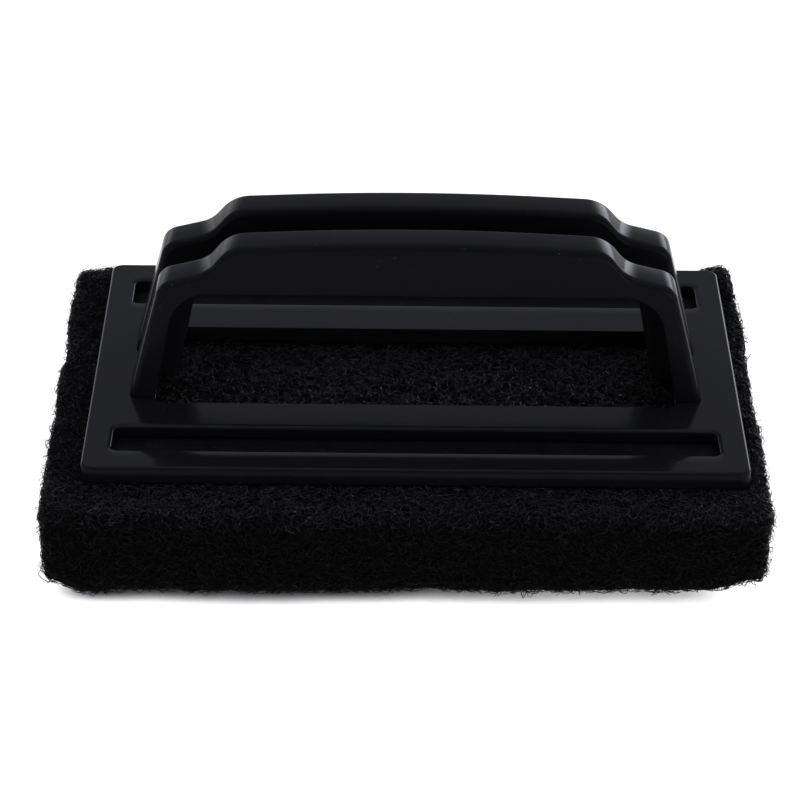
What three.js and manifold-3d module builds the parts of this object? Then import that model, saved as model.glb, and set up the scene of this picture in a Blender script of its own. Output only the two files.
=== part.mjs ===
// Board eraser: a fibre pad held by rows of hooks under a plastic plate, with an arched grip screwed on top.
// Millimetres, +X along the eraser, +Y to its rear, +Z up. The origin is the centre of the pad's underside.
import * as THREE from "three";
import { mergeVertices } from "three/addons/utils/BufferGeometryUtils.js";
import Module from "manifold-3d";

const wasm = await Module();
wasm.setup();

// ---- driving dimensions ----

const fit = 0.3; // clearance between pieces that touch

const pad = { length: 152, depth: 102, height: 22, corner: 5, edge: 3 };

// The holder sits a little off the pad's centre, to the right and to the rear.
const holder = { x: 1.8, y: 3.7, z: pad.height + fit };

const plate = { length: 141, depth: 86.5, height: 3.6, corner: 2.5, edge: 0.7 };
const slot = { length: 128.6, corner: 1.5 };
const slotRows = [
  { name: "front_hook_strip", y: -31.05, depth: 9 },
  { name: "rear_hook_strip", y: 30.55, depth: 10 },
];
const window = { length: 111.4, depth: 31.7, corner: 2, y: -1.15 };

const strip = { length: 133, depth: 12.6, height: 1.2, rebate: 0.8 };
const hook = { height: 2.4, stem: 0.9, reach: 1.7, width: 1.4, pitch: 6, perRow: 22, rowGap: 6 };

// The grip's side outline, as corners of the right half from the foot to the crown, each with its rounding radius.
const gripOuter = [
  [62, 0, 0],
  [55, 26.7, 4.2],
  [44.9, 29.4, 7],
  [39.9, 35.4, 8],
];
const gripCrown = [0, 37.4, 560];
const gripInner = [
  [56.4, 0, 0],
  [51.4, 24.5, 8.5],
];
const grip = { halfDepth: 15.2, leanDegrees: 4.5, groove: 8.4, wall: 2.2, footHeight: 9 };
// Between the ribs a channel makes the groove: its floor is the web and its sides are a wall thick.
// The channel stands in from the ribs' inner edges by the drop.
const channel = { web: 2.6, drop: 4.4, corner: 1.5 };

const screw = { x: 58.9, y: 9.4, shank: 2.2, head: 3.6, headHeight: 1.3, intoFoot: 4.6, sides: 16 };

// ---- materials ----

const blackPlastic = { color: 0x0b0b0d, roughness: 0.28, metalness: 0 };
const nylon = { color: 0x0d0d0e, roughness: 0.45, metalness: 0 };
const fibre = { color: 0x08080a, roughness: 0.8, metalness: 0 };
const steel = { color: 0x9a9a9c, roughness: 0.35, metalness: 1 };

// ---- solids ----

function solid(geometry) {
  const bare = geometry.index ? geometry.toNonIndexed() : geometry.clone();
  bare.deleteAttribute("normal");
  bare.deleteAttribute("uv");
  const merged = mergeVertices(bare, 1e-4);
  return new wasm.Manifold(
    new wasm.Mesh({
      numProp: 3,
      vertProperties: merged.attributes.position.array,
      triVerts: new Uint32Array(merged.index.array),
    }),
  );
}

function geometryOf(body) {
  const mesh = body.getMesh();
  const geometry = new THREE.BufferGeometry();
  geometry.setAttribute("position", new THREE.BufferAttribute(mesh.vertProperties, 3));
  geometry.setIndex(new THREE.BufferAttribute(mesh.triVerts, 1));
  geometry.computeVertexNormals();
  return geometry;
}

function named(name, geometry, look) {
  const mesh = new THREE.Mesh(geometry, new THREE.MeshStandardMaterial(look));
  mesh.name = name;
  return mesh;
}

// ---- outlines ----

// A closed outline through corners [x, y, radius], with each corner rounded by an arc.
function roundedOutline(corners, stepsPerTurn = 32) {
  const points = [];
  corners.forEach(([x, y, radius], i) => {
    const here = new THREE.Vector2(x, y);
    const before = new THREE.Vector2(...corners.at(i - 1)).sub(here).normalize();
    const after = new THREE.Vector2(...corners[(i + 1) % corners.length]).sub(here).normalize();
    if (radius === 0) {
      points.push(here);
      return;
    }
    const half = Math.acos(before.dot(after)) / 2;
    const toCentre = before.clone().add(after).normalize();
    const centre = here.clone().addScaledVector(toCentre, radius / Math.sin(half));
    const start = here.clone().addScaledVector(before, radius / Math.tan(half)).sub(centre);
    const turn = Math.sign(before.cross(after)) * (2 * half - Math.PI);
    const steps = Math.max(3, Math.ceil((stepsPerTurn * Math.abs(turn)) / (2 * Math.PI)));
    for (let k = 0; k <= steps; k += 1) {
      points.push(start.clone().rotateAround(new THREE.Vector2(), (turn * k) / steps).add(centre));
    }
  });
  return points;
}

// The corners moved in by a distance, or out where it is negative; the corners run anticlockwise.
function insetCorners(corners, distance) {
  return corners.map(([x, y, radius], i) => {
    const here = new THREE.Vector2(x, y);
    const into = here.clone().sub(new THREE.Vector2(...corners.at(i - 1))).normalize();
    const out = new THREE.Vector2(...corners[(i + 1) % corners.length]).sub(here).normalize();
    const left = new THREE.Vector2(-into.y, into.x);
    const nextLeft = new THREE.Vector2(-out.y, out.x);
    const diagonal = left.add(nextLeft);
    here.addScaledVector(diagonal, (2 * distance) / diagonal.lengthSq());
    const convex = into.cross(out) > 0;
    return [here.x, here.y, radius === 0 ? 0 : Math.max(radius + (convex ? -distance : distance), 0.5)];
  });
}

function rectangleCorners(length, depth, corner, y = 0) {
  const x = length / 2;
  const half = depth / 2;
  return [
    [x, y - half, corner],
    [x, y + half, corner],
    [-x, y + half, corner],
    [-x, y - half, corner],
  ];
}

function mirrored(corners) {
  return corners.map(([x, y, radius]) => [-x, y, radius]).reverse();
}

// Extrudes an outline drawn in X and Z along Y, between two values of Y.
function alongY(points, yStart, yEnd) {
  const geometry = new THREE.ExtrudeGeometry(new THREE.Shape(points), {
    depth: yEnd - yStart,
    bevelEnabled: false,
  });
  return geometry.rotateX(Math.PI / 2).translate(0, yEnd, 0);
}

// A slab with its outline in X and Y, from z = 0 up, with its edges and the edges of its holes chamfered.
function slab(points, holes, height, edge) {
  const shape = new THREE.Shape(points);
  shape.holes = holes.map((hole) => new THREE.Path(hole));
  const geometry = new THREE.ExtrudeGeometry(shape, {
    depth: height - 2 * edge,
    bevelThickness: edge,
    bevelSize: edge,
    bevelOffset: -edge,
    bevelSegments: 2,
  });
  return geometry.translate(0, 0, edge);
}

function box(length, depth, height, x, y, zBottom) {
  return new THREE.BoxGeometry(length, depth, height).translate(x, y, zBottom + height / 2);
}

// A round piece from [radius, z] points, listed upwards, that starts and ends on its own upright axis.
function turned(profile, x, y) {
  const points = profile.map(([radius, z]) => new THREE.Vector2(radius, z));
  return new THREE.LatheGeometry(points, screw.sides).rotateX(Math.PI / 2).translate(x, y, 0);
}

// ---- the grip ----

const wholeOuter = [...gripOuter, gripCrown, ...mirrored(gripOuter)];
const wholeInner = [...gripInner, ...mirrored(gripInner)];

// The arch between the legs, grown by a distance and run down past the feet so that it cuts right through.
function archCorners(grow, corner = gripInner[1][2] + grow) {
  const grown = insetCorners(wholeInner, -grow);
  const below = 10;
  const high = grown.slice(1, -1).map(([x, z]) => [x, z, corner]);
  return [[grown[0][0], -below, 0], ...high, [grown.at(-1)[0], -below, 0]];
}

function taperedEnvelope() {
  const top = 40;
  const narrowing = top * Math.tan(THREE.MathUtils.degToRad(grip.leanDegrees));
  const side = new THREE.Shape([
    new THREE.Vector2(-grip.halfDepth, 0),
    new THREE.Vector2(grip.halfDepth, 0),
    new THREE.Vector2(grip.halfDepth - narrowing, top),
    new THREE.Vector2(-grip.halfDepth + narrowing, top),
  ]);
  const length = 2 * gripOuter[0][0] + 10;
  const geometry = new THREE.ExtrudeGeometry(side, { depth: length, bevelEnabled: false });
  return geometry.rotateX(Math.PI / 2).rotateZ(Math.PI / 2).translate(-length / 2, 0, 0);
}

// The space under one rib, between the outer face and the channel.
function ribArch(side) {
  const near = grip.groove / 2 + grip.wall;
  const far = grip.halfDepth + 1;
  return alongY(roundedOutline(archCorners(0)), side > 0 ? near : -far, side > 0 ? far : -near);
}

// Everything outside the channel's floor, over the width of the groove.
function grooveCutter() {
  const reach = 90;
  const around = new THREE.Shape(roundedOutline(rectangleCorners(2 * reach, 2 * reach, 0)));
  around.holes = [new THREE.Path(roundedOutline(archCorners(channel.web - channel.drop)))];
  const geometry = new THREE.ExtrudeGeometry(around, { depth: grip.groove, bevelEnabled: false });
  return geometry.rotateX(Math.PI / 2).translate(0, grip.groove / 2, 0);
}

// The hollow inside one rib, open towards the hand and closed at the feet.
function ribPocket(side) {
  const inside = insetCorners(wholeOuter, grip.wall);
  const high = inside.slice(1, -1);
  const foot = inside[0];
  const next = inside[1];
  const along = (grip.footHeight - foot[1]) / (next[1] - foot[1]);
  const footX = foot[0] + along * (next[0] - foot[0]);
  const corners = [[footX, grip.footHeight, 0], ...high, [-footX, grip.footHeight, 0]];
  const nearGroove = grip.groove / 2 + grip.wall;
  const top = gripCrown[1];
  const narrowing = top * Math.tan(THREE.MathUtils.degToRad(grip.leanDegrees));
  const nearFace = grip.halfDepth - narrowing - grip.wall;
  const from = side > 0 ? nearGroove : -nearFace;
  const to = side > 0 ? nearFace : -nearGroove;
  return alongY(roundedOutline(corners), from, to);
}

function makeGrip() {
  let body = solid(alongY(roundedOutline(wholeOuter), -grip.halfDepth, grip.halfDepth));
  const through = roundedOutline(archCorners(-channel.drop, channel.corner));
  body = body.subtract(solid(alongY(through, -grip.halfDepth - 1, grip.halfDepth + 1)));
  body = body.intersect(solid(taperedEnvelope()));
  body = body.subtract(solid(grooveCutter()));
  for (const side of [-1, 1]) {
    body = body.subtract(solid(ribArch(side)));
    body = body.subtract(solid(ribPocket(side)));
  }
  for (const [x, y] of screwPlaces) {
    const radius = screw.shank / 2 + fit / 2;
    const depth = screw.intoFoot + 0.6;
    body = body.subtract(solid(turned([[0, -1], [radius, -1], [radius, depth], [0, depth]], x, y)));
  }
  const mesh = named("grip", geometryOf(body), blackPlastic);
  mesh.position.z = plate.height + fit;
  return mesh;
}

// ---- the plate, and the screws that go up through it ----

const screwPlaces = [
  [-screw.x, -screw.y],
  [screw.x, -screw.y],
  [-screw.x, screw.y],
  [screw.x, screw.y],
];
const screwNames = ["screw_front_left", "screw_front_right", "screw_rear_left", "screw_rear_right"];

function makePlate() {
  const outline = roundedOutline(rectangleCorners(plate.length, plate.depth, plate.corner));
  const slots = slotRows.map((row) =>
    roundedOutline(rectangleCorners(slot.length, row.depth, slot.corner, row.y)),
  );
  const opening = roundedOutline(rectangleCorners(window.length, window.depth, window.corner, window.y));
  let body = solid(slab(outline, [...slots, opening], plate.height, plate.edge));
  for (const row of slotRows) {
    const length = strip.length + 2 * fit;
    const depth = strip.depth + 2 * fit;
    body = body.subtract(solid(box(length, depth, strip.rebate + 1, 0, row.y, -1)));
  }
  for (const [x, y] of screwPlaces) {
    const hole = screw.shank / 2 + fit;
    const wide = screw.head / 2 + fit;
    const neck = screw.headHeight + fit;
    const above = plate.height + 1;
    const profile = [[0, -1], [wide, -1], [wide, fit], [hole, neck], [hole, above], [0, above]];
    body = body.subtract(solid(turned(profile, x, y)));
  }
  return named("base_plate", geometryOf(body), blackPlastic);
}

function makeScrew(name, x, y) {
  const shank = screw.shank / 2;
  const top = plate.height + screw.intoFoot;
  const profile = [[0, 0], [screw.head / 2, 0], [shank, screw.headHeight], [shank, top - 1], [0, top]];
  const driverSlot = box(screw.head + 1, 0.7, 0.6 + 1, 0, 0, -1);
  const body = solid(turned(profile, 0, 0)).subtract(solid(driverSlot));
  const mesh = named(name, geometryOf(body), steel);
  mesh.position.set(x, y, fit);
  return mesh;
}

// ---- the hook strips ----

// One hook seen along Y: a stem from the strip down, ending in a barb to one side.
function hookGeometry(x, y, direction) {
  const stem = hook.stem / 2;
  const tip = -hook.height;
  const barb = stem + hook.reach - hook.stem;
  const points = [
    new THREE.Vector2(x - stem, 0.1),
    new THREE.Vector2(x - stem, tip),
    new THREE.Vector2(x + stem, tip),
    new THREE.Vector2(x + barb, tip + 0.9),
    new THREE.Vector2(x + stem, tip + 0.8),
    new THREE.Vector2(x + stem, 0.1),
  ];
  const facing = direction > 0 ? points : points.map((p) => new THREE.Vector2(2 * x - p.x, p.y)).reverse();
  return alongY(facing, y - hook.width / 2, y + hook.width / 2);
}

function makeHookStrip({ name, y: stripY }) {
  let body = solid(box(strip.length, strip.depth, strip.height, 0, 0, 0));
  for (const row of [-1, 1]) {
    for (let i = 0; i < hook.perRow; i += 1) {
      const x = (i - (hook.perRow - 1) / 2) * hook.pitch;
      body = body.add(solid(hookGeometry(x, (row * hook.rowGap) / 2, row)));
    }
  }
  const mesh = named(name, geometryOf(body), nylon);
  mesh.position.set(0, stripY, strip.rebate - fit - strip.height);
  return mesh;
}

// ---- the pad ----

// The hooks press their own room into the fibre: a shallow recess under each strip.
function makePad() {
  const outline = roundedOutline(rectangleCorners(pad.length, pad.depth, pad.corner));
  let body = solid(slab(outline, [], pad.height, pad.edge));
  const below = hook.height + strip.height + fit - strip.rebate;
  for (const row of slotRows) {
    const length = strip.length + 2 * fit;
    const depth = strip.depth + 2 * fit;
    const recess = box(length, depth, below + 1, holder.x, holder.y + row.y, pad.height - below);
    body = body.subtract(solid(recess));
  }
  return named("scouring_pad", geometryOf(body), fibre);
}

// ---- the eraser ----

const holderGroup = new THREE.Group();
holderGroup.position.set(holder.x, holder.y, holder.z);
holderGroup.add(makePlate(), makeGrip());
holderGroup.add(...slotRows.map(makeHookStrip));
screwPlaces.forEach(([x, y], i) => holderGroup.add(makeScrew(screwNames[i], x, y)));

const eraser = new THREE.Group();
eraser.add(makePad(), holderGroup);

export default eraser;
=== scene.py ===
"""Board eraser: its looks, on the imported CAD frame. Metres, +X along the eraser, +Y to its rear, +Z up."""
import math

import bmesh
import bpy
import numpy as np
from mathutils import Matrix, Vector, noise
from mathutils.geometry import tessellate_polygon


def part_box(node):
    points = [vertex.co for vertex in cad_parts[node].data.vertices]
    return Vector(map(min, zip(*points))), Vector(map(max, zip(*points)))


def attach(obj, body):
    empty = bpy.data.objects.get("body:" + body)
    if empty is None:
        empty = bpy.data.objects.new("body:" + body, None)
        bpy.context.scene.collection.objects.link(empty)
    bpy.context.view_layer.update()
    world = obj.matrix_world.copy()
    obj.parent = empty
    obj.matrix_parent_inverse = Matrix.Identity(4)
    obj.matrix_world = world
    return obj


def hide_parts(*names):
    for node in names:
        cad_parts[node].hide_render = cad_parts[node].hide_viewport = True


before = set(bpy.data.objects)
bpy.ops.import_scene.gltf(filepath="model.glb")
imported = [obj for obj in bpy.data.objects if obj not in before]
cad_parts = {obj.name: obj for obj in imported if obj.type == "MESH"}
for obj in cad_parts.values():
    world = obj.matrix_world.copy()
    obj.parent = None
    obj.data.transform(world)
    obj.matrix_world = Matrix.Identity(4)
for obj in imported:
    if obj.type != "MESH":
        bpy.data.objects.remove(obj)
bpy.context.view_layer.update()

MM = 0.001

# ---- sizes, in metres, read from the frame or as the CAD has them ----

PAD_LOW, PAD_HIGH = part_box("scouring_pad")
PLATE_LOW, PLATE_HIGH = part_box("base_plate")
HOLDER_X = (PLATE_LOW.x + PLATE_HIGH.x) / 2
HOLDER_Y = (PLATE_LOW.y + PLATE_HIGH.y) / 2
PLATE_TOP = PLATE_HIGH.z

SLOT_LENGTH, SLOT_CORNER = 128.6 * MM, 1.5 * MM
# Each slot's middle, in Y from the plate's middle, and its depth.
SLOTS = ((-31.05 * MM, 9 * MM), (30.55 * MM, 10 * MM))
WINDOW_LENGTH, WINDOW_DEPTH, WINDOW_CORNER, WINDOW_Y = 111.4 * MM, 31.7 * MM, 2 * MM, -1.15 * MM
# How far the window's ends run on past the CAD's, so that no sliver of plate shows beside the grip's feet.
WINDOW_OVERRUN = 0.55 * MM
# The recess for a hook strip, with its clearance.
STRIP_LENGTH, STRIP_DEPTH, REBATE_DEPTH = 133.6 * MM, 13.2 * MM, 0.8 * MM
PLATE_CORNER = 2.5 * MM
PLATE_EDGE = 0.6 * MM
# The slots' rounded edge, and the soft lip outside it.
SLOT_EDGE = 0.45 * MM
LIP_REACH, LIP_DIP = 2.7 * MM, 0.18 * MM
# How much further in the top of the plate's outer wall stands than its foot, at the front and on the other
# sides.
FRONT_DRAFT, DRAFT = 0.75 * MM, 0.3 * MM
# The rounding of the lower edge of the plate's outer wall, and of the window's upper and lower edge.
FOOT_EDGE = 0.4 * MM
WINDOW_EDGE, WINDOW_FOOT_EDGE = 0.14 * MM, 0.3 * MM

HOOK_STRIPS = ("front_hook_strip", "rear_hook_strip")
SCREWS = ("screw_front_left", "screw_front_right", "screw_rear_left", "screw_rear_right")
# The radius of a screw's hole through the plate, of the countersink for its head, and where that ends.
SCREW_HOLE, SCREW_SINK, SINK_DEPTH = 1.4 * MM, 2.1 * MM, 1.6 * MM


# ---- nodes ----

class Nodes:
    """Short calls for the nodes that the materials and the world here share."""

    def __init__(self, tree):
        self.tree = tree

    def link(self, source, node, socket):
        self.tree.links.new(source, node.inputs[socket])

    def where(self, space):
        """The place that is shaded, in one of the spaces of a Texture Coordinate node."""
        return self.tree.nodes.new("ShaderNodeTexCoord").outputs[space]

    def ramp(self, source, stops):
        """A colour or value by steps of (position, grey or colour)."""
        node = self.tree.nodes.new("ShaderNodeValToRGB")
        while len(node.color_ramp.elements) < len(stops):
            node.color_ramp.elements.new(0.5)
        for element, (position, value) in zip(node.color_ramp.elements, stops):
            element.position = position
            element.color = (*value, 1) if isinstance(value, tuple) else (value, value, value, 1)
        self.link(source, node, "Fac")
        return node.outputs["Color"]

    def maths(self, operation, first, second):
        node = self.tree.nodes.new("ShaderNodeMath")
        node.operation = operation
        for socket, value in enumerate((first, second)):
            if isinstance(value, (int, float)):
                node.inputs[socket].default_value = value
            else:
                self.link(value, node, socket)
        return node.outputs["Value"]

    def scaled(self, value, factor, offset):
        """The value times factor, plus offset."""
        result = self.maths("MULTIPLY_ADD", value, factor)
        result.node.inputs[2].default_value = offset
        return result

    def mix(self, factor, first, second):
        node = self.tree.nodes.new("ShaderNodeMix")
        node.data_type = "RGBA"
        self.link(factor, node, "Factor")
        for socket, value in (("A", first), ("B", second)):
            if isinstance(value, tuple):
                node.inputs[socket].default_value = (*value, 1)
            else:
                self.link(value, node, socket)
        return next(o for o in node.outputs if o.type == "RGBA")


class MaterialNodes(Nodes):
    """The node tree of one new material."""

    def __init__(self, name):
        self.material = bpy.data.materials.new(name)
        self.material.use_nodes = True
        super().__init__(self.material.node_tree)
        self.shader = self.tree.nodes["Principled BSDF"]
        self.place = self.where("Object")

    def noise(self, scale, detail=4.0, roughness=0.5, stretch=(1, 1, 1), distortion=0.0):
        mapping = self.tree.nodes.new("ShaderNodeMapping")
        mapping.inputs["Scale"].default_value = stretch
        self.link(self.place, mapping, "Vector")
        node = self.tree.nodes.new("ShaderNodeTexNoise")
        node.inputs["Scale"].default_value = scale
        node.inputs["Detail"].default_value = detail
        node.inputs["Roughness"].default_value = roughness
        node.inputs["Distortion"].default_value = distortion
        self.link(mapping.outputs["Vector"], node, "Vector")
        return node.outputs["Fac"]

    def bump(self, height, distance, strength=1.0, below=None):
        node = self.tree.nodes.new("ShaderNodeBump")
        node.inputs["Distance"].default_value = distance
        node.inputs["Strength"].default_value = strength
        self.link(height, node, "Height")
        if below is not None:
            self.link(below, node, "Normal")
        return node.outputs["Normal"]


# ---- outlines ----

def unit(vector):
    return vector / np.linalg.norm(vector)


def rounded_corner(before, here, after, radius, steps):
    """The arc that rounds one corner of an outline, as points from the incoming side to the outgoing one."""
    here = np.array(here, float)
    if radius == 0:
        return [here]
    incoming = unit(np.array(before, float) - here)
    outgoing = unit(np.array(after, float) - here)
    half = math.acos(float(incoming @ outgoing)) / 2
    centre = here + unit(incoming + outgoing) * radius / math.sin(half)
    start = here + incoming * radius / math.tan(half) - centre
    turn = math.copysign(math.pi - 2 * half, np.cross(-incoming, outgoing))
    points = []
    for k in range(steps + 1):
        angle = turn * k / steps
        cosine, sine = math.cos(angle), math.sin(angle)
        points.append(centre + np.array([
            cosine * start[0] - sine * start[1],
            sine * start[0] + cosine * start[1],
        ]))
    return points


def rounded_path(corners, steps=16):
    """An open path through [x, z, radius] corners, in metres from millimetres."""
    points = [np.array(corners[0][:2], float)]
    for before, here, after in zip(corners, corners[1:], corners[2:]):
        points += rounded_corner(before[:2], here[:2], after[:2], here[2], steps)
    points.append(np.array(corners[-1][:2], float))
    return np.array(points) * MM


def rectangle_ring(length, depth, corner, offset, z, centre=(0, 0), steps=8):
    """A ring of points round a rectangle with round corners, moved out by offset."""
    radius = corner + offset
    x, y = length / 2 - corner, depth / 2 - corner
    ring = []
    for quarter, (sx, sy) in enumerate(((1, -1), (1, 1), (-1, 1), (-1, -1))):
        for k in range(steps + 1):
            angle = math.radians(-90 + 90 * quarter + 90 * k / steps)
            ring.append((
                centre[0] + sx * x + radius * math.cos(angle),
                centre[1] + sy * y + radius * math.sin(angle),
                z,
            ))
    return ring


def circle_ring(radius, z, centre, steps=32):
    turns = [2 * math.pi * k / steps for k in range(steps)]
    return [(centre[0] + radius * math.cos(t), centre[1] + radius * math.sin(t), z) for t in turns]


# ---- meshes ----

def make_object(name, vertices, faces, smooth=True):
    mesh = bpy.data.meshes.new(name)
    mesh.from_pydata([tuple(v) for v in vertices], [], [tuple(f) for f in faces])
    mesh.validate()
    mesh.update()
    if smooth:
        mesh.shade_smooth()
    made = bpy.data.objects.new(name, mesh)
    bpy.context.scene.collection.objects.link(made)
    return made


def finish_piece(made, material, body):
    """Gives a new piece its material and the body that it rides on."""
    made.data.materials.append(material)
    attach(made, body)
    return made


def give_material(nodes, material):
    """Gives CAD nodes that stay in view their material."""
    for name in nodes:
        for slot in bpy.data.objects[name].material_slots:
            slot.material = material


def turn_faces_out(made):
    sheet = bmesh.new()
    sheet.from_mesh(made.data)
    bmesh.ops.recalc_face_normals(sheet, faces=sheet.faces)
    sheet.to_mesh(made.data)
    sheet.free()


# ---- camera, lights and floor ----

CAMERA_TARGET = Vector((-2.2 * MM, -10.2 * MM, PLATE_TOP))
CAMERA_DISTANCE = 0.6503
CAMERA_PITCH = math.radians(32.27)
CAMERA_YAW = math.radians(0.21)
CAMERA_ROLL = math.radians(0.68)
CAMERA_LENS = 136.0

# The tent's light by the height of the direction (0 at the horizon, 1 overhead), the panels' light by height
# and by side (0 far left, 0.5 in front or behind, 1 far right), and the share of both that is left from the
# front (0) to the back (1).
TENT_BY_HEIGHT = ((0.0, 0.75), (0.2, 0.8), (0.45, 0.92), (0.6, 0.92), (0.85, 1.5), (1.0, 2.0))
PANEL_BY_HEIGHT = ((0.0, 1.0), (0.16, 1.0), (0.4, 0.0), (1.0, 0.0))
PANEL_BY_SIDE = (
    (0.04, 0.08), (0.14, 0.36), (0.29, 0.36), (0.4, 0.0),
    (0.6, 0.0), (0.71, 1.2), (0.86, 1.2), (0.96, 0.25),
)
PANEL_STRENGTH = 6.4
LEFT_BY_DEPTH = ((0.0, 0.45), (0.3, 0.5), (0.5, 1.0), (1.0, 1.0))
TENT_COLOUR = (0.935, 0.955, 1.065)
FLOOR_HALF = 4.0
FLOOR_WHITE = 0.30
FLOOR_GLOW = 0.95
# How far from the object its painted contact shadow reaches, and the floor's glow by how open the place is,
# which paints that shadow into the glow.
SHADOW_REACH = 6 * MM
GLOW_BY_OPENNESS_PAINTED_SHADOW = ((0.17, 0.0), (0.52, FLOOR_GLOW))


def add_camera():
    data = bpy.data.cameras.new("camera")
    data.lens = CAMERA_LENS
    data.sensor_width = 36.0
    data.clip_start = 0.01
    data.clip_end = 50
    camera = bpy.data.objects.new("camera", data)
    bpy.context.scene.collection.objects.link(camera)
    forward = Vector((
        math.sin(CAMERA_YAW) * math.cos(CAMERA_PITCH),
        math.cos(CAMERA_YAW) * math.cos(CAMERA_PITCH),
        -math.sin(CAMERA_PITCH),
    ))
    level = Vector((math.cos(CAMERA_YAW), -math.sin(CAMERA_YAW), 0))
    above = level.cross(forward)
    right = level * math.cos(CAMERA_ROLL) + above * math.sin(CAMERA_ROLL)
    upward = right.cross(forward)
    turn = Matrix((right, upward, -forward)).transposed().to_4x4()
    camera.matrix_world = Matrix.Translation(CAMERA_TARGET - forward * CAMERA_DISTANCE) @ turn
    bpy.context.scene.camera = camera


def add_world():
    """A white tent, open at the front: brighter overhead and at panels near the horizon on both sides."""
    world = bpy.data.worlds.new("tent")
    bpy.context.scene.world = world
    world.use_nodes = True
    nodes = Nodes(world.node_tree)
    split = nodes.tree.nodes.new("ShaderNodeSeparateXYZ")
    nodes.link(nodes.where("Generated"), split, "Vector")
    height = split.outputs["Z"]
    aside, deep = (nodes.scaled(split.outputs[axis], 0.5, 0.5) for axis in "XY")
    even = nodes.ramp(height, TENT_BY_HEIGHT)
    panels = nodes.maths("MULTIPLY", nodes.ramp(height, PANEL_BY_HEIGHT), nodes.ramp(aside, PANEL_BY_SIDE))
    light = nodes.maths("ADD", even, nodes.maths("MULTIPLY", panels, PANEL_STRENGTH))
    light = nodes.maths("MULTIPLY", light, nodes.ramp(deep, LEFT_BY_DEPTH))
    seen = nodes.tree.nodes.new("ShaderNodeLightPath").outputs["Is Camera Ray"]
    background = nodes.tree.nodes["Background"]
    nodes.link(nodes.maths("MAXIMUM", light, seen), background, "Strength")
    nodes.link(nodes.mix(seen, TENT_COLOUR, (1, 1, 1)), background, "Color")


def add_floor():
    """White paper that glows like a light table's, except close to the object, where ambient occlusion dims
    the glow into a painted contact shadow.
    """
    half = FLOOR_HALF
    corners = [(-half, -half, 0), (half, -half, 0), (half, half, 0), (-half, half, 0)]
    floor = make_object("floor", corners, [(0, 1, 2, 3)], smooth=False)
    nodes = MaterialNodes("white_paper")
    shader = nodes.shader
    shader.inputs["Base Color"].default_value = (FLOOR_WHITE, FLOOR_WHITE, FLOOR_WHITE, 1)
    shader.inputs["Roughness"].default_value = 0.9
    shader.inputs["Specular IOR Level"].default_value = 0.0
    shader.inputs["Emission Color"].default_value = (1, 1, 1, 1)
    # Ambient occlusion dims the glow near the object: a painted contact shadow.
    painted_shadow_openness = nodes.tree.nodes.new("ShaderNodeAmbientOcclusion")
    painted_shadow_openness.inputs["Distance"].default_value = SHADOW_REACH
    nodes.link(nodes.ramp(painted_shadow_openness.outputs["AO"], GLOW_BY_OPENNESS_PAINTED_SHADOW), shader, "Emission Strength")
    floor.data.materials.append(nodes.material)


# ---- materials ----

def black_plastic(name, gloss, roughness, rub):
    """Semi-gloss black moulding: faint moulding ripple, rubbed patches and dust."""
    nodes = MaterialNodes(name)
    shader = nodes.shader
    shader.inputs["IOR"].default_value = 1.46
    shader.inputs["Specular IOR Level"].default_value = gloss
    tone = nodes.noise(60, detail=3)
    colour = nodes.mix(tone, (0.0038, 0.0038, 0.0044), (0.0054, 0.0054, 0.0061))
    specks = nodes.ramp(nodes.noise(1500, detail=1, roughness=0.4), [(0.765, 0.0), (0.80, 1.0)])
    patches = nodes.ramp(nodes.noise(90, detail=2), [(0.42, 0.0), (0.6, 1.0)])
    dust = nodes.maths("MULTIPLY", specks, patches)
    colour = nodes.mix(dust, colour, (0.03, 0.03, 0.034))
    nodes.link(colour, shader, "Base Color")
    smudge = nodes.noise(35, detail=5, roughness=0.6)
    grain = nodes.noise(2600, detail=2)
    nodes.link(nodes.scaled(smudge, rub, roughness - rub / 2), shader, "Roughness")
    ripple = nodes.bump(nodes.noise(28, detail=2), 0.00012, 0.35)
    nodes.link(nodes.bump(grain, 0.000012, 0.5, ripple), shader, "Normal")
    return nodes.material


def nylon_plastic(name):
    """Matte moulded nylon of the hook strips, with fine dust in it."""
    nodes = MaterialNodes(name)
    shader = nodes.shader
    shader.inputs["Specular IOR Level"].default_value = 0.02
    tone = nodes.noise(220, detail=4)
    colour = nodes.mix(tone, (0.0020, 0.0020, 0.0024), (0.0056, 0.0056, 0.0064))
    specks = nodes.ramp(nodes.noise(1700, detail=1), [(0.70, 0.0), (0.78, 1.0)])
    nodes.link(nodes.mix(specks, colour, (0.02, 0.02, 0.023)), shader, "Base Color")
    nodes.link(nodes.ramp(tone, [(0.3, 0.42), (0.7, 0.62)]), shader, "Roughness")
    nodes.link(nodes.bump(nodes.noise(900, detail=3), 0.00005, 0.6), shader, "Normal")
    return nodes.material


def brushed_steel(name):
    """Plated screw steel with turning marks."""
    nodes = MaterialNodes(name)
    shader = nodes.shader
    shader.inputs["Metallic"].default_value = 1.0
    marks = nodes.noise(1800, detail=3, stretch=(1, 1, 9))
    nodes.link(nodes.mix(marks, (0.40, 0.41, 0.43), (0.58, 0.59, 0.60)), shader, "Base Color")
    nodes.link(nodes.ramp(marks, [(0.3, 0.25), (0.7, 0.45)]), shader, "Roughness")
    nodes.link(nodes.bump(marks, 0.00002, 0.5), shader, "Normal")
    return nodes.material


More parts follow.
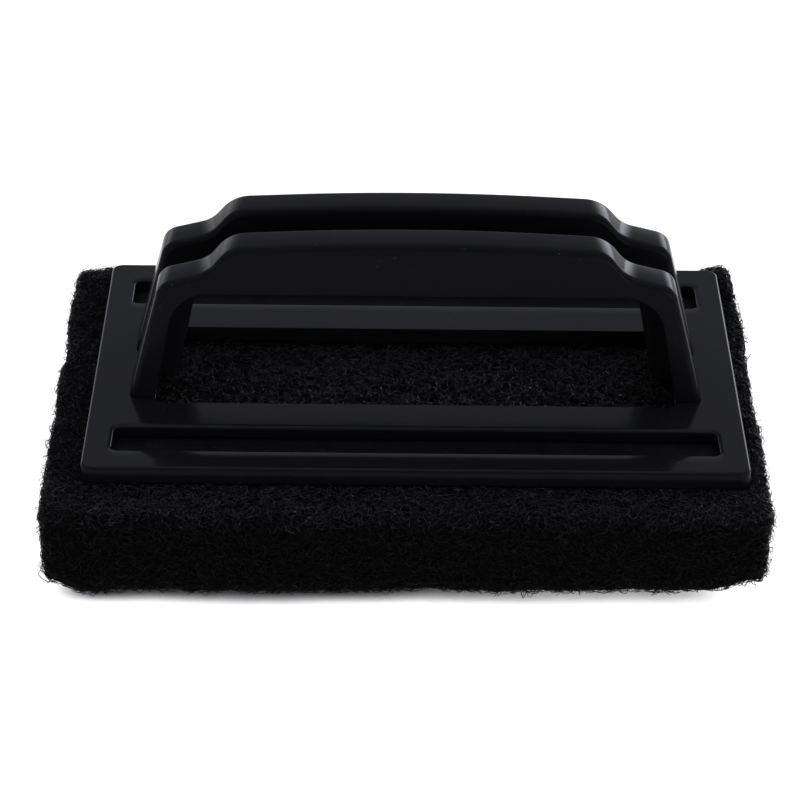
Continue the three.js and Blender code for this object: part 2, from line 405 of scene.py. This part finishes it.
def fibre_mass(name):
    """The dark felted body of the pad between its loose fibres."""
    nodes = MaterialNodes(name)
    shader = nodes.shader
    shader.inputs["Specular IOR Level"].default_value = 0.02
    shader.inputs["Roughness"].default_value = 0.8
    tangle = nodes.noise(1500, detail=4, roughness=0.65, stretch=(1, 1, 1.8), distortion=1.2)
    clump = nodes.noise(260, detail=3, stretch=(1, 1, 1.6))
    tangled = nodes.ramp(tangle, [(0.42, 0.15), (0.68, 1.0)])
    clumped = nodes.ramp(clump, [(0.3, 0.4), (0.7, 1.0)])
    tone = nodes.maths("MULTIPLY", tangled, clumped)
    nodes.link(nodes.mix(tone, (0.0010, 0.0010, 0.0012), (0.0034, 0.0034, 0.0038)), shader, "Base Color")
    nodes.link(nodes.bump(tangle, 0.0004, 1.0, nodes.bump(clump, 0.0008, 0.8)), shader, "Normal")
    return nodes.material


def fibre_strands(name, gloss):
    """Crimped nylon fibres in resin: shinier along some stretches, with a few pale specks in the colour that
    are painted glints.
    """
    nodes = MaterialNodes(name)
    shader = nodes.shader
    shader.inputs["Specular IOR Level"].default_value = gloss
    tone = nodes.noise(420, detail=3, roughness=0.6)
    colour = nodes.mix(tone, (0.0006, 0.0006, 0.0007), (0.0030, 0.0030, 0.0033))
    # Pale specks mixed into the colour, brighter with the gloss: painted glints, not a real mark on the
    # fibre.
    painted_glints = nodes.ramp(nodes.noise(1100, detail=1, roughness=0.4), [(0.63, 0.0), (0.70, 1.0)])
    nodes.link(nodes.mix(painted_glints, colour, (0.15 * gloss, 0.15 * gloss, 0.17 * gloss)), shader, "Base Color")
    resin = nodes.noise(1400, detail=2)
    nodes.link(nodes.ramp(resin, [(0.35, 0.14), (0.65, 0.6)]), shader, "Roughness")
    nodes.link(nodes.bump(nodes.noise(4200, detail=1), 0.00002, 0.6), shader, "Normal")
    return nodes.material


# ---- the grip ----

# The corners of the right half of the grip's side outlines, from the foot to the crown, in millimetres with
# each corner's radius, as the CAD has them.
GRIP_OUTER = [(62, 0, 0), (55, 26.7, 4.2), (44.9, 29.4, 7), (39.9, 35.4, 8), (0, 37.4, 560)]
GRIP_INNER = [(56.4, 0, 0), (51.4, 24.5, 8.5), (0, 24.5, 0)]
GRIP_CHANNEL = [(51.9, 0, 0), (47.8, 20.1, 1.5), (0, 20.1, 0)]
# Places along the three outlines that lie across from one another.
ACROSS = [
    ((62, 0), (56.4, 0), (51.9, 0)),
    ((56.7, 20), (52.8, 17.3), (48.8, 15.3)),
    ((54.2, 26.4), (50.2, 21.8), (47.5, 19.8)),
    ((45.2, 29.6), (44.2, 24.5), (43.2, 20.1)),
    ((40.2, 34.6), (38.6, 24.5), (38.0, 20.1)),
    ((0, 36.7), (0, 24.5), (0, 20.1)),
]
GRIP_HALF_DEPTH = 15.2 * MM
GRIP_LEAN = math.tan(math.radians(4.5))
GROOVE_HALF = 4.2 * MM
# The web under the groove, and how far its underside stands in from the ribs' inner edges.
WEB, DROP = 2.6 * MM, 4.4 * MM
WALL = 2.2 * MM
CREST = 1.5 * MM
# The pockets in the ribs start above the solid feet, and reach their full depth over a short rise.
FOOT_HEIGHT, POCKET_RISE, LEAST_POCKET = 9 * MM, 0.8 * MM, 0.25 * MM
STATIONS_PER_HALF = 150
# The grip stands this far off the plate, and its lowest sections are drawn in by this factor.
GRIP_GAP = 0.01 * MM
FOOT_SHRINK = 0.99


def mirrored_path(corners):
    """The whole outline from the right foot over the crown to the left foot."""
    left = [(-x, z, radius) for x, z, radius in reversed(corners) if x > 0]
    return rounded_path(list(corners) + left)


def along(path):
    """How far along the path each of its points is."""
    steps = np.linalg.norm(np.diff(path, axis=0), axis=1)
    return np.concatenate([[0], np.cumsum(steps)])


def distance_at(path, lengths, point):
    """How far along the path its nearest place to a point is."""
    best, found = 1e9, 0.0
    point = np.array(point) * MM
    for i in range(len(path) - 1):
        span = path[i + 1] - path[i]
        size = float(span @ span)
        share = min(max(float((point - path[i]) @ span) / size, 0), 1) if size > 0 else 0
        gap = float(np.linalg.norm(path[i] + share * span - point))
        if gap < best:
            best, found = gap, lengths[i] + share * (lengths[i + 1] - lengths[i])
    return found


def grip_stations():
    """Points from the right foot over the crown to the left, on the outer, inner and channel outlines. Those
    with the same number lie across from one another."""
    paths = [mirrored_path(corners) for corners in (GRIP_OUTER, GRIP_INNER, GRIP_CHANNEL)]
    lengths = [along(path) for path in paths]
    marks = [
        [distance_at(path, run, places[column]) for places in ACROSS]
        for column, (path, run) in enumerate(zip(paths, lengths))
    ]
    outer_share = np.array(marks[0]) / marks[0][-1]
    rows = []
    for path, run, mark in zip(paths, lengths, marks):
        half = np.interp(np.linspace(0, 1, STATIONS_PER_HALF), outer_share, mark)
        whole = np.concatenate([half, run[-1] - half[-2::-1]])
        rows.append(np.stack([np.interp(whole, run, path[:, axis]) for axis in (0, 1)], axis=1))
    return rows


def arc(centre_y, centre_h, radius, start, end, steps):
    """Points of an arc from one angle to another, in degrees."""
    return [
        (centre_y + radius * math.cos(math.radians(start + (end - start) * k / steps)),
         centre_h + radius * math.sin(math.radians(start + (end - start) * k / steps)))
        for k in range(steps + 1)
    ]


def grip_half_section(thickness, pocket):
    """Half of the grip's cross-section: from the middle of the groove's floor, round one rib, through its
    pocket and round the channel to the middle of its underside. (y, height over the ribs' inner edges)"""
    groove_round, rim_round, lip_round, channel_round = 0.8 * MM, 0.45 * MM, 0.2 * MM, 1.8 * MM
    crown, room_for_lean = 0.06 * MM, 0.6 * MM
    half_depth = GRIP_HALF_DEPTH
    floor = WEB - DROP
    inner_wall = GROOVE_HALF + WALL
    outer_wall = half_depth - WALL - room_for_lean
    round_in = min(0.6 * MM, 0.45 * pocket)
    points = [(0.0, floor), (GROOVE_HALF * 0.5, floor)]
    points += arc(GROOVE_HALF - groove_round, floor + groove_round, groove_round, -90, 0, 4)
    points += arc(GROOVE_HALF + CREST, thickness - CREST, CREST, 180, 90, 9)
    points.append(((GROOVE_HALF + half_depth) / 2, thickness + crown))
    points += arc(half_depth - CREST, thickness - CREST, CREST, 90, 0, 9)
    points.append((half_depth, thickness * 0.5))
    points += arc(half_depth - rim_round, rim_round, rim_round, 0, -90, 4)
    points += arc(outer_wall + lip_round, lip_round, lip_round, 270, 180, 2)
    points += arc(outer_wall - round_in, pocket - round_in, round_in, 0, 90, 4)
    points += arc(inner_wall + round_in, pocket - round_in, round_in, 90, 180, 4)
    points += arc(inner_wall - channel_round, channel_round - DROP, channel_round, 0, -90, 6)
    points.append((0.0, -DROP))
    return points


def grip_ring(outer, inner, channel):
    """The grip's whole cross-section through one point of each outline, as (x, y, height over the plate)."""
    thickness = float(np.linalg.norm(outer - inner))
    outward = (outer - inner) / thickness
    risen = min(max((inner[1] - FOOT_HEIGHT) / POCKET_RISE, 0), 1)
    pocket = max((thickness - WALL) * risen, LEAST_POCKET)
    half = []
    for y, height in grip_half_section(thickness, pocket):
        if height >= 0:
            place = inner + outward * height
        else:
            place = inner + (channel - inner) * (-height / DROP)
        share = min(max((y - GROOVE_HALF - WALL) / (GRIP_HALF_DEPTH - GROOVE_HALF - 2 * WALL), 0), 1)
        half.append((place[0], y - place[1] * GRIP_LEAN * share, place[1]))
    return half + [(x, -y, z) for x, y, z in reversed(half[1:-1])]


def make_grip():
    rings = [grip_ring(*points) for points in zip(*grip_stations())]
    for end in (0, -1):
        middle = np.mean(rings[end], axis=0)
        rings[end] = [tuple(middle + (np.array(point) - middle) * FOOT_SHRINK) for point in rings[end]]
    base = PLATE_TOP + GRIP_GAP
    vertices = [(HOLDER_X + x, HOLDER_Y + y, base + z) for ring in rings for x, y, z in ring]
    size = len(rings[0])
    last = (len(rings) - 1) * size
    faces = []
    for start in range(0, last, size):
        for k in range(size):
            after = (k + 1) % size
            faces.append((start + k, start + after, start + size + after, start + size + k))
    faces.append(tuple(range(size)))
    faces.append(tuple(reversed(range(last, last + size))))
    made = make_object("grip_moulding", vertices, faces)
    turn_faces_out(made)
    return made


# ---- the plate ----

def perforated_slab(name, outer, holes):
    """A slab from rings of points: each boundary is a list of rings from its top to its underside."""
    vertices, faces = [], []
    firsts, lasts = [], []
    for rings in [outer, *holes]:
        starts = []
        for ring in rings:
            starts.append(len(vertices))
            vertices.extend(ring)
        size = len(rings[0])
        for above, below in zip(starts, starts[1:]):
            for k in range(size):
                after = (k + 1) % size
                faces.append((above + k, above + after, below + after, below + k))
        firsts.append(range(starts[0], starts[0] + size))
        lasts.append(range(starts[-1], starts[-1] + size))
    for group in (firsts, lasts):
        order = [index for one in group for index in one]
        triangles = tessellate_polygon([[Vector(vertices[index]) for index in one] for one in group])
        faces += [tuple(order[corner] for corner in triangle) for triangle in triangles]
    made = make_object(name, vertices, faces)
    turn_faces_out(made)
    return made


def edge_profile(sign, top, bottom, edge, bottom_edge):
    """(offset, z) round the top edge, down the wall and round the foot; sign is -1 for the outer wall."""
    flat = 0.15 * MM
    profile = [(sign * (edge + flat), top)]
    for k in range(7):
        angle = math.radians(90 * k / 6)
        profile.append((sign * edge * (1 - math.sin(angle)), top - edge * (1 - math.cos(angle))))
    for k in range(4):
        angle = math.radians(90 * k / 3)
        rise = bottom_edge * (1 - math.sin(angle))
        profile.append((sign * bottom_edge * (1 - math.cos(angle)), bottom + rise))
    profile.append((sign * (bottom_edge + flat), bottom))
    return profile


def outer_rings(bottom):
    """Rings down the plate's outer wall, which leans in by its draft."""
    length, depth = PLATE_HIGH.x - PLATE_LOW.x, PLATE_HIGH.y - PLATE_LOW.y
    rings = []
    for offset, z in edge_profile(-1, PLATE_TOP, bottom, PLATE_EDGE, FOOT_EDGE):
        rise = (z - bottom) / (PLATE_TOP - bottom)
        middle = (HOLDER_X, HOLDER_Y + (FRONT_DRAFT - DRAFT) / 2 * rise)
        size = (length - 2 * DRAFT * rise, depth - (FRONT_DRAFT + DRAFT) * rise)
        rings.append(rectangle_ring(*size, PLATE_CORNER, offset, z, middle))
    return rings


def window_rings(bottom):
    middle = (HOLDER_X, HOLDER_Y + WINDOW_Y)
    length = WINDOW_LENGTH + 2 * WINDOW_OVERRUN
    return [
        rectangle_ring(length, WINDOW_DEPTH, WINDOW_CORNER, offset, z, middle)
        for offset, z in edge_profile(1, PLATE_TOP, bottom, WINDOW_EDGE, WINDOW_FOOT_EDGE)
    ]


def lip_rings(depth, middle, steps=8):
    """Rings over the soft lip round a slot, from the flat top inward. It is widest at the slot's front."""
    rings = []
    for share in (-0.06, *(k / steps for k in range(steps))):
        front = LIP_REACH * (1 - share)
        side = front / 4
        z = PLATE_TOP - LIP_DIP * max(share, 0) ** 2
        centre = (middle[0], middle[1] - (front - side) / 2)
        size = (SLOT_LENGTH, depth + front - side)
        rings.append(rectangle_ring(*size, SLOT_CORNER, SLOT_EDGE + side, z, centre))
    return rings


def slot_rings(bottom, slot_y, depth):
    """Rings over a slot's lip, down its wall, out over its hook strip and down to the underside."""
    middle = (HOLDER_X, HOLDER_Y + slot_y)
    rebate = (STRIP_DEPTH - depth) / 2
    ledge = bottom + REBATE_DEPTH
    wall = edge_profile(1, PLATE_TOP - LIP_DIP, ledge, SLOT_EDGE, 0.05 * MM)[1:-1]
    wall += [(rebate, ledge), (rebate, bottom + 0.02 * MM), (rebate + 0.1 * MM, bottom)]
    return lip_rings(depth, middle) + [
        rectangle_ring(SLOT_LENGTH, depth, SLOT_CORNER, offset, z, middle) for offset, z in wall
    ]


def screw_hole_rings(bottom, screw):
    low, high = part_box(screw)
    middle = ((low.x + high.x) / 2, (low.y + high.y) / 2)
    steps = (
        (SCREW_HOLE + 0.3 * MM, PLATE_TOP), (SCREW_HOLE, PLATE_TOP), (SCREW_HOLE, bottom + SINK_DEPTH),
        (SCREW_SINK, bottom + 0.3 * MM), (SCREW_SINK, bottom), (SCREW_SINK + 0.2 * MM, bottom),
    )
    return [circle_ring(radius, z, middle) for radius, z in steps]


def make_plate():
    bottom = PLATE_LOW.z
    holes = [window_rings(bottom)]
    holes += [slot_rings(bottom, slot_y, depth) for slot_y, depth in SLOTS]
    holes += [screw_hole_rings(bottom, screw) for screw in SCREWS]
    return perforated_slab("plate_moulding", outer_rings(bottom), holes)


# ---- the pad ----

PAD_CENTRE = np.array((PAD_LOW + PAD_HIGH) / 2)
PAD_HALF = np.array((PAD_HIGH - PAD_LOW) / 2)
PAD_ROUND = 2.6 * MM
PAD_CORNER = 3.2 * MM
CELL = 0.9 * MM
# The surface between the loose fibres: the height of its lumps, and how far it is sunk under the fibres.
LUMPS, SUNK = 0.8 * MM, 0.25 * MM
# The gaps that the pad keeps to the floor and the plate, how far past the plate's edge it stays pressed
# down, and how far inside the window's edge it is free.
FLOOR_GAP, PLATE_GAP, PLATE_REACH, WINDOW_REACH = 0.05 * MM, 0.15 * MM, 0.2 * MM, 0.6 * MM
# How far the pad bulges up into the window, and its height where a hook strip dents it.
WINDOW_BULGE, DENT_TOP = 1.6 * MM, 18.7 * MM
# How far the worn left and right sides stand out, by the place along Y, both in millimetres.
LEFT_SIDE = (
    (-51, 0.3), (-30, 0.55), (-16, 0.75), (-10, 0.3), (-3, 0.8), (4, 1.25),
    (9, 0.95), (15, 0.15), (22, 0.8), (28, 1.4), (51, 1.1),
)
RIGHT_SIDE = (
    (-51, 0.2), (-33, 0.1), (-26, 0.45), (-14, 0.5), (-5, 0.05), (4, 0.2),
    (12, 0.3), (19, 0.7), (26, 1.05), (32, 0.95), (42, 0.0), (51, -0.4),
)


def smooth(values, start, end):
    share = np.clip((values - start) / (end - start), 0, 1)
    return share * share * (3 - 2 * share)


def onto_slab(points):
    """The nearest places on a plain slab with round edges and corners, and the directions out of it."""
    local = points - PAD_CENTRE
    inner = PAD_HALF[:2] - PAD_CORNER
    corner = local[..., :2] - np.clip(local[..., :2], -inner, inner)
    reach = np.linalg.norm(corner, axis=-1, keepdims=True)
    largest = np.abs(corner).max(axis=-1, keepdims=True)
    pulled = np.where(reach > PAD_CORNER, corner * largest / np.maximum(reach, 1e-9), corner)
    flat = np.concatenate([local[..., :2] - corner + pulled, local[..., 2:]], axis=-1)
    middle = np.clip(flat, -(PAD_HALF - PAD_ROUND), PAD_HALF - PAD_ROUND)
    away = flat - middle
    out = away / np.maximum(np.linalg.norm(away, axis=-1, keepdims=True), 1e-9)
    return PAD_CENTRE + middle + out * PAD_ROUND, out


def inside(points, length, depth, y=0.0):
    """Whether points lie over a rectangle centred on the plate, moved by y."""
    across = np.abs(points[..., 0] - HOLDER_X) < length / 2
    return across & (np.abs(points[..., 1] - HOLDER_Y - y) < depth / 2)


def lift_off_floor(x, y, low):
    """How far the underside's corners and front edge have lifted, in millimetres, to nothing at the top."""
    back = smooth(y, -42, 10)
    corner_curl = 0.6 * smooth(x, 55, 64) + 2.9 * smooth(x, 63, 73) + 4.6 * smooth(-x, 63, 77)
    front_lift = 2.8 * smooth(x, -10, 30)
    worn_edge = 2.3 * (1 - smooth(x, 2, 22)) * (1 - smooth(-x, 58, 70))
    lifted = (corner_curl * (1 - 0.75 * back) + front_lift * (1 - back)) * low
    return lifted + worn_edge * smooth(-y, 40, 51) * low * low


def bow_of_sides(x, y, low):
    """How far the slab's left and right sides stand out along X, less towards the floor, in millimetres."""
    left, right = (np.interp(y, *np.transpose(side)) for side in (LEFT_SIDE, RIGHT_SIDE))
    taper = smooth(low, 0.0, 0.22)
    return (right - 0.95 * taper) * smooth(x, 66, 76) - (left - 0.45 * taper) * smooth(-x, 66, 76)


def bow_of_front_and_rear(x, y):
    """How far the slab's front and rear sides wander along Y, in millimetres."""
    wave = -0.25 * np.sin(x / 21 + 0.6) - 0.35 * np.sin(x / 9 + 2)
    return wave * np.sign(y) * smooth(np.abs(y), 42, 51)


def lift_of_rear_corners(x, y, z):
    """How far the top's two rear corners stand up, in millimetres."""
    right_corner = 2.6 * smooth(x, 64, 71) * smooth(y, 34, 47)
    left_corner = 1.2 * smooth(-x, 52, 66) * (1 - smooth(-x, 68, 77)) * smooth(y, 34, 47)
    return smooth(z, 15, 22) * (right_corner + left_corner)


def press_down(points):
    """Keeps points above the floor, below the plate and the hook strips, and low in the window."""
    length, depth = PLATE_HIGH.x - PLATE_LOW.x, PLATE_HIGH.y - PLATE_LOW.y
    under_plate = inside(points, length + 2 * PLATE_REACH, depth + 2 * PLATE_REACH)
    in_window = inside(points, WINDOW_LENGTH - 2 * WINDOW_REACH, WINDOW_DEPTH - 2 * WINDOW_REACH, WINDOW_Y)
    ceiling = np.full(points.shape[:-1], math.inf)
    ceiling[under_plate] = PLATE_LOW.z - PLATE_GAP
    ceiling[in_window] = PLATE_LOW.z + WINDOW_BULGE
    for slot_y, _ in SLOTS:
        ceiling[inside(points, STRIP_LENGTH, STRIP_DEPTH, slot_y)] = DENT_TOP
    points[..., 2] = np.clip(points[..., 2], FLOOR_GAP, ceiling)
    return points


def settle(points):
    """Lets the slab take its used shape: curled corners, bowed sides, and pressed flat under the holder."""
    x, y, z = points[..., 0] / MM, points[..., 1] / MM, points[..., 2] / MM
    low = np.clip(1 - z / (PAD_HIGH.z / MM), 0, 1)
    z = z + lift_off_floor(x, y, low)
    y = y + bow_of_front_and_rear(x, y)
    x = x + bow_of_sides(x, y, low)
    z = z + lift_of_rear_corners(x, y, z)
    return press_down(np.stack([x, y, z], axis=-1) * MM)


def slab_lattice():
    """The surface of a box in small square cells: its points from -1 to 1 and its faces."""
    counts = [int(round(2 * half / CELL)) for half in PAD_HALF]
    numbers, points, faces = {}, [], []

    def number(key):
        if key not in numbers:
            numbers[key] = len(points)
            points.append([2 * k / count - 1 for k, count in zip(key, counts)])
        return numbers[key]

    for axis in range(3):
        one, two = (axis + 1) % 3, (axis + 2) % 3
        for level in (0, counts[axis]):
            for i in range(counts[one]):
                for j in range(counts[two]):
                    corners = []
                    for di, dj in ((0, 0), (1, 0), (1, 1), (0, 1)):
                        key = [0, 0, 0]
                        key[axis], key[one], key[two] = level, i + di, j + dj
                        corners.append(number(tuple(key)))
                    faces.append(corners if level else corners[::-1])
    return np.array(points), faces


def make_pad_body():
    """The dense slab under the loose fibres, with a lumpy felted surface."""
    lattice, faces = slab_lattice()
    surface, out = onto_slab(PAD_CENTRE + lattice * PAD_HALF)
    relief = np.array([
        0.55 * noise.noise(Vector((x * 260, y * 260, z * 420)))
        + 0.45 * noise.noise(Vector((x * 900, y * 900, z * 1300)))
        for x, y, z in surface
    ])[:, None]
    surface = surface + out * (relief * LUMPS - SUNK)
    return make_object("pad_body", settle(surface), faces)


STRAND_POINTS = 10
STRAND_STEP = 0.55 * MM
STRAND_RADIUS = 0.072 * MM
# The share of strands that stand off the pad, and how far a strand swings in and out, in millimetres.
LOOSE_SHARE = 0.15
LOOSE_SWING, CLOSE_SWING = (0.5, 1.2), (0.05, 0.4)


def strand_paths(rng, count, low, high):
    """Crimped, wandering paths that hug the slab, from starts inside a box: (strand, point, xyz)."""
    place, out = onto_slab(rng.uniform(low, high, (count, 3)))
    heading = rng.normal(0, 1, (count, 3)) * (1, 1, 0.55)
    bend = rng.normal(0, 0.42, (count, 1))
    base = rng.uniform(-0.25, 0.35, (count, 1))
    swing = rng.uniform(*CLOSE_SWING, (count, 1))
    loose = rng.random((count, 1)) < LOOSE_SHARE
    swing = np.where(loose, rng.uniform(*LOOSE_SWING, (count, 1)), swing)
    phase = rng.uniform(0, 2 * math.pi, (count, 1))
    pace = rng.uniform(0.35, 1.0, (count, 1))
    path = []
    for k in range(STRAND_POINTS):
        path.append(place + out * (base + swing * np.sin(phase + pace * k)) * MM)
        heading = heading - out * np.sum(heading * out, axis=1, keepdims=True)
        heading = heading / np.linalg.norm(heading, axis=1, keepdims=True)
        turn = bend + rng.normal(0, 0.45, (count, 1))
        heading = heading * np.cos(turn) + np.cross(out, heading) * np.sin(turn)
        place, out = onto_slab(place + heading * STRAND_STEP)
    return np.stack(path, axis=1)


def make_tubes(name, paths, radii):
    """One mesh of thin three-sided tubes, one along each path."""
    count, length = paths.shape[:2]
    ahead = np.gradient(paths, axis=1)
    ahead = ahead / np.maximum(np.linalg.norm(ahead, axis=2, keepdims=True), 1e-12)
    side = np.cross(ahead[:, 0], (0.31, 0.52, 0.8))
    rings = []
    for k in range(length):
        side = side - ahead[:, k] * np.sum(side * ahead[:, k], axis=1, keepdims=True)
        side = side / np.maximum(np.linalg.norm(side, axis=1, keepdims=True), 1e-12)
        other = np.cross(ahead[:, k], side)
        slim = 0.55 if k in (0, length - 1) else 1.0
        ring = [
            paths[:, k] + radii * slim * (side * math.cos(angle) + other * math.sin(angle))
            for angle in (0, 2 * math.pi / 3, 4 * math.pi / 3)
        ]
        rings.append(np.stack(ring, axis=1))
    vertices = np.stack(rings, axis=1).reshape(-1, 3)
    strand = (np.arange(count) * length * 3)[:, None, None]
    here = strand + (np.arange(length - 1) * 3)[None, :, None] + np.arange(3)[None, None, :]
    beside = strand + (np.arange(length - 1) * 3)[None, :, None] + np.array((1, 2, 0))[None, None, :]
    quads = np.stack([here, beside, beside + 3, here + 3], axis=-1).reshape(-1)
    starts = strand[:, 0] + np.array((2, 1, 0))
    ends = strand[:, 0] + (length - 1) * 3 + np.array((0, 1, 2))
    corners = np.concatenate([quads, starts.reshape(-1), ends.reshape(-1)]).astype(np.int32)
    sizes = np.concatenate([np.full(len(quads) // 4, 4), np.full(2 * count, 3)])
    mesh = bpy.data.meshes.new(name)
    mesh.vertices.add(len(vertices))
    mesh.vertices.foreach_set("co", vertices.ravel())
    mesh.loops.add(len(corners))
    mesh.loops.foreach_set("vertex_index", corners)
    mesh.polygons.add(len(sizes))
    mesh.polygons.foreach_set("loop_start", (np.cumsum(sizes) - sizes).astype(np.int32))
    mesh.update(calc_edges=True)
    mesh.shade_smooth()
    made = bpy.data.objects.new(name, mesh)
    bpy.context.scene.collection.objects.link(made)
    return made


# Each layer of loose fibres: its name, material, how many, and the box in millimetres in which they start.
FIBRE_LAYERS = (
    ("fibres_front", "side_fibre", 3500, (-76, -51, 0), (76, -50, 22)),
    ("fibres_rear", "side_fibre", 3500, (-76, 50, 0), (76, 51, 22)),
    ("fibres_left", "side_fibre", 2600, (-76, -51, 0), (-75, 51, 22)),
    ("fibres_right", "side_fibre", 2600, (75, -51, 0), (76, 51, 22)),
    ("fibres_top_front", "top_fibre_painted_glint", 3000, (-76, -51, 21.5), (76, -38, 22)),
    ("fibres_top_rear", "top_fibre_painted_glint", 1500, (-76, 45, 21.5), (76, 51, 22)),
    ("fibres_top_left", "side_fibre", 1600, (-76, -51, 21.5), (-67, 51, 22)),
    ("fibres_top_right", "side_fibre", 1300, (70, -51, 21.5), (76, 51, 22)),
    ("fibres_window", "top_fibre_painted_glint", 3500, (-54.7, -13.5, 21.5), (58.3, 18.5, 22)),
    ("fibres_under_plate", "top_fibre_painted_glint", 3500, (-68, -39, 21.5), (71, 46, 22)),
)


def add_fibres():
    # Two copies of the one fibre: the top copy is glossier and its painted glints are brighter, standing in
    # for the stronger light on the pad's top.
    materials = {
        "side_fibre": fibre_strands("side_fibre", gloss=0.072),
        "top_fibre_painted_glint": fibre_strands("top_fibre_painted_glint", gloss=0.21),
    }
    rng = np.random.default_rng(7)
    for name, material, count, low, high in FIBRE_LAYERS:
        paths = settle(strand_paths(rng, count, np.array(low) * MM, np.array(high) * MM))
        radii = STRAND_RADIUS * rng.uniform(0.7, 1.25, (count, 1))
        finish_piece(make_tubes(name, paths, radii), materials[material], "pad")


# ---- build ----

add_camera()
add_world()
add_floor()

grip_black = black_plastic("grip_black", gloss=0.028, roughness=0.17, rub=0.07)
grip = finish_piece(make_grip(), grip_black, "holder")
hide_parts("grip")
plate_black = black_plastic("plate_black", gloss=0.052, roughness=0.14, rub=0.06)
plate = finish_piece(make_plate(), plate_black, "holder")
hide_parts("base_plate")

give_material(HOOK_STRIPS, nylon_plastic("strip_nylon"))
give_material(SCREWS, brushed_steel("screw_steel"))

pad_body = finish_piece(make_pad_body(), fibre_mass("fibre_mass"), "pad")
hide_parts("scouring_pad")
add_fibres()

view = bpy.context.scene.view_settings
view.view_transform = "Standard"
view.look = "None"
